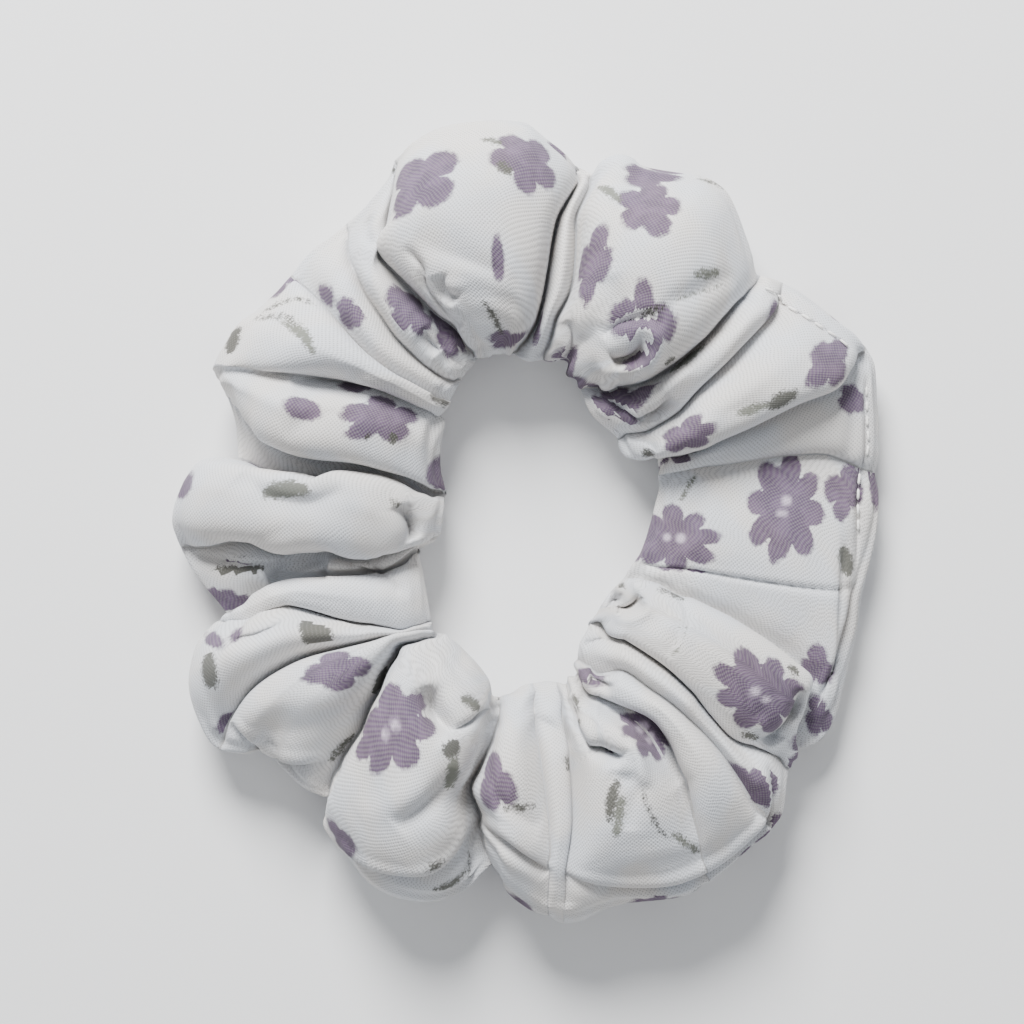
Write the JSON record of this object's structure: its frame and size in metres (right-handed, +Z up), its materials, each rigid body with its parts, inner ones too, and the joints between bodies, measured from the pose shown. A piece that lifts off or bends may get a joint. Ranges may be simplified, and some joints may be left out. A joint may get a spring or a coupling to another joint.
{
  "type": "scrunchie",
  "caption": "Gathered fabric ring over a concealed elastic band, with a flat closing seam and a topstitched turning gap; it stretches open to hold hair.",
  "frame": {"origin": "centre of the ring's bounding box, on the surface that it lies on", "axes": "+Z up, out of the surface that the ring lies on; +Y along the ring's longest diameter; +X from the hole towards the flat closing part of the cover"},
  "size_m": [0.108, 0.121, 0.0249],
  "materials": {
    "printed_cotton": "matte",
    "knitted_elastic": "matte",
    "cotton_thread": "satin"
  },
  "bodies": {
    "closing_side": {"cover_closing_part": "printed_cotton", "elastic_band": "knitted_elastic", "elastic_join_stitch": "cotton_thread", "long_seam_thread": "cotton_thread", "end_seam_thread": "cotton_thread", "gap_topstitch": "cotton_thread"},
    "upper_right": {"cover_gather_upper_right": "printed_cotton"},
    "top": {"cover_gather_top": "printed_cotton"},
    "upper_left": {"cover_gather_upper_left": "printed_cotton"},
    "far_side": {"cover_gather_left": "printed_cotton"},
    "lower_left": {"cover_gather_lower_left": "printed_cotton"},
    "lower": {"cover_gather_lower": "printed_cotton"},
    "bottom": {"cover_gather_bottom": "printed_cotton"}
  },
  "joints": [
    {"name": "stretch", "type": "slide", "parent": "closing_side", "child": "far_side", "axis": [-1, 0, 0], "range_m": [0, 0.075], "stiffness_N_per_m": 60, "deforming": ["elastic_band", "long_seam_thread"]},
    {"name": "upper_right_follow", "type": "slide", "parent": "closing_side", "child": "upper_right", "axis": [-1, 0, 0], "range_m": [0, 0.0195]},
    {"name": "top_follow", "type": "slide", "parent": "closing_side", "child": "top", "axis": [-1, 0, 0], "range_m": [0, 0.0485]},
    {"name": "upper_left_follow", "type": "slide", "parent": "closing_side", "child": "upper_left", "axis": [-1, 0, 0], "range_m": [0, 0.065]},
    {"name": "lower_left_follow", "type": "slide", "parent": "closing_side", "child": "lower_left", "axis": [-1, 0, 0], "range_m": [0, 0.067]},
    {"name": "lower_follow", "type": "slide", "parent": "closing_side", "child": "lower", "axis": [-1, 0, 0], "range_m": [0, 0.054]},
    {"name": "bottom_follow", "type": "slide", "parent": "closing_side", "child": "bottom", "axis": [-1, 0, 0], "range_m": [0, 0.023]}
  ],
  "couplings": [
    {"joint": "upper_right_follow", "follows": "stretch", "ratio": 0.255},
    {"joint": "top_follow", "follows": "stretch", "ratio": 0.64},
    {"joint": "upper_left_follow", "follows": "stretch", "ratio": 0.86},
    {"joint": "lower_left_follow", "follows": "stretch", "ratio": 0.89},
    {"joint": "lower_follow", "follows": "stretch", "ratio": 0.71},
    {"joint": "bottom_follow", "follows": "stretch", "ratio": 0.3}
  ]
}
